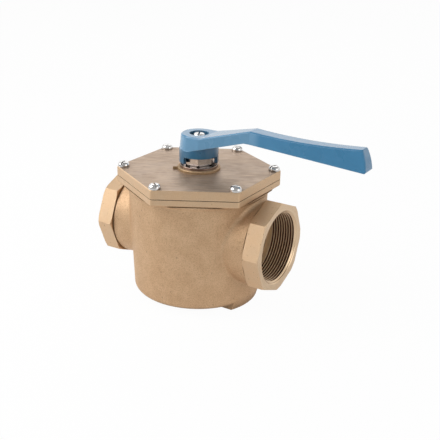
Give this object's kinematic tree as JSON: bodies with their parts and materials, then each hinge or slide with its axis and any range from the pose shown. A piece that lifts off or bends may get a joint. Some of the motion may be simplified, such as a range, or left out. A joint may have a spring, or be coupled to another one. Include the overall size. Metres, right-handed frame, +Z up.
{
  "type": "seacock valve",
  "caption": "In-line cast brass quarter-turn ball valve: drafted pot body, bolted hexagonal cover, octagonal female-threaded ports and a blue hand lever.",
  "frame": {"origin": "centre of the underside of the foot, on the stem axis", "axes": "+X along the port axis towards the outlet, under the lever when open; +Z up along the stem"},
  "size_m": [0.2258, 0.1354, 0.1503],
  "materials": {
    "cast_brass": "sand cast, blasted matte",
    "machined_brass": "machined, brushed, dulled brown",
    "turned_brass": "turned satin",
    "gasket": "dark fibre-reinforced sheet",
    "bright_steel": "bright zinc or chrome plate",
    "nickel_plate": "bright nickel plate",
    "plated_ball": "polished chrome plate on brass",
    "stem_steel": "turned stainless steel",
    "seat_plastic": "white fluoropolymer",
    "seal_rubber": "black nitrile rubber",
    "blue_paint": "glossy blue enamel"
  },
  "bodies": {
    "valve_body": {"body": "cast_brass", "cover": "machined_brass", "cover_gasket": "gasket", "cover_screws": "bright_steel", "seat_carrier_outlet": "turned_brass", "seat_carrier_inlet": "turned_brass", "seat_ring_outlet": "seat_plastic", "seat_ring_inlet": "seat_plastic", "carrier_o_ring_outlet": "seal_rubber", "carrier_o_ring_inlet": "seal_rubber", "stem_thrust_washer": "seat_plastic", "gland_follower": "turned_brass", "gland_nut": "nickel_plate", "packing_ring_1": "seat_plastic", "packing_ring_2": "seat_plastic", "packing_ring_3": "seat_plastic"},
    "lever_and_stem": {"lever": "blue_paint", "lever_washer": "bright_steel", "lever_spring_washer": "bright_steel", "lever_screw": "bright_steel", "stem": "stem_steel", "stem_o_ring": "seal_rubber"},
    "ball": {"ball": "plated_ball"}
  },
  "joints": [
    {"name": "lever_turn", "type": "hinge", "parent": "valve_body", "child": "lever_and_stem", "pos_m": [0, 0, 0.0565], "axis": [0, 0, 1], "range_deg": [-90, 0]},
    {"name": "ball_turn", "type": "hinge", "parent": "valve_body", "child": "ball", "pos_m": [0, 0, 0.0565], "axis": [0, 0, 1], "range_deg": [-90, 0]}
  ],
  "couplings": [
    {"joint": "ball_turn", "follows": "lever_turn", "ratio": 1}
  ]
}
